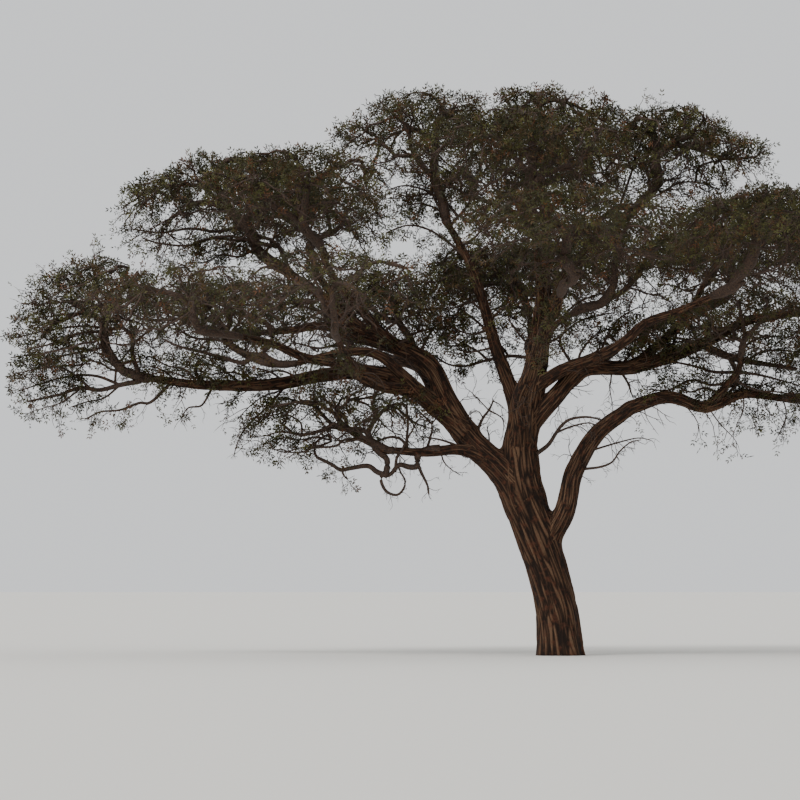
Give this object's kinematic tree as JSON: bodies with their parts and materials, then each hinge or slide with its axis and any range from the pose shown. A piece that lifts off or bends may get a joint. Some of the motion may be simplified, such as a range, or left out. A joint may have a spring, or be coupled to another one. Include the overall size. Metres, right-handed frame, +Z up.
{
  "type": "acacia tree",
  "caption": "Broad flat-crowned acacia with a leaning trunk, long crooked boughs and layered masses of fine foliage, standing on a flat cut at ground level",
  "frame": {"origin": "on the flat cut under the trunk, at the middle of the root flare, at ground level", "axes": "+X to the right of the usual view, along the crown's greatest spread, +Y away from the viewer, +Z up"},
  "size_m": [19.653, 15.6959, 11.9408],
  "materials": {
    "bark": "rough grey-brown bark with long stringy ridges",
    "foliage": "matt olive leaflets and thin brown twigs"
  },
  "bodies": {
    "root": {"trunk": "bark", "bough_high_left": "bark", "bough_far_left": "bark", "bough_mid_left": "bark", "bough_inner_left": "bark", "bough_left_front": "bark", "bough_left_back": "bark", "bough_high_left_front": "bark", "bough_high_left_back": "bark", "bough_low_left": "bark", "bough_top_left": "bark", "bough_top": "bark", "bough_top_right": "bark", "bough_top_front": "bark", "bough_top_back": "bark", "bough_mid_front": "bark", "bough_mid_back": "bark", "bough_front": "bark", "bough_back": "bark", "bough_front_left": "bark", "bough_back_left": "bark", "bough_far_right": "bark", "bough_right": "bark", "bough_right_front": "bark", "bough_right_back": "bark", "bough_right_arch": "bark", "bough_far_right_low": "bark", "bough_right_low": "bark", "foliage_high_left": "foliage", "foliage_far_left": "foliage", "foliage_mid_left": "foliage", "foliage_inner_left": "foliage", "foliage_left_front": "foliage", "foliage_left_back": "foliage", "foliage_high_left_front": "foliage", "foliage_high_left_back": "foliage", "foliage_low_left": "foliage", "foliage_top_left": "foliage", "foliage_top": "foliage", "foliage_top_right": "foliage", "foliage_top_front": "foliage", "foliage_top_back": "foliage", "foliage_mid_front": "foliage", "foliage_mid_back": "foliage", "foliage_front": "foliage", "foliage_back": "foliage", "foliage_front_left": "foliage", "foliage_back_left": "foliage", "foliage_far_right": "foliage", "foliage_right": "foliage", "foliage_right_front": "foliage", "foliage_right_back": "foliage", "foliage_far_right_low": "foliage", "foliage_right_low": "foliage"}
  },
  "joints": []
}
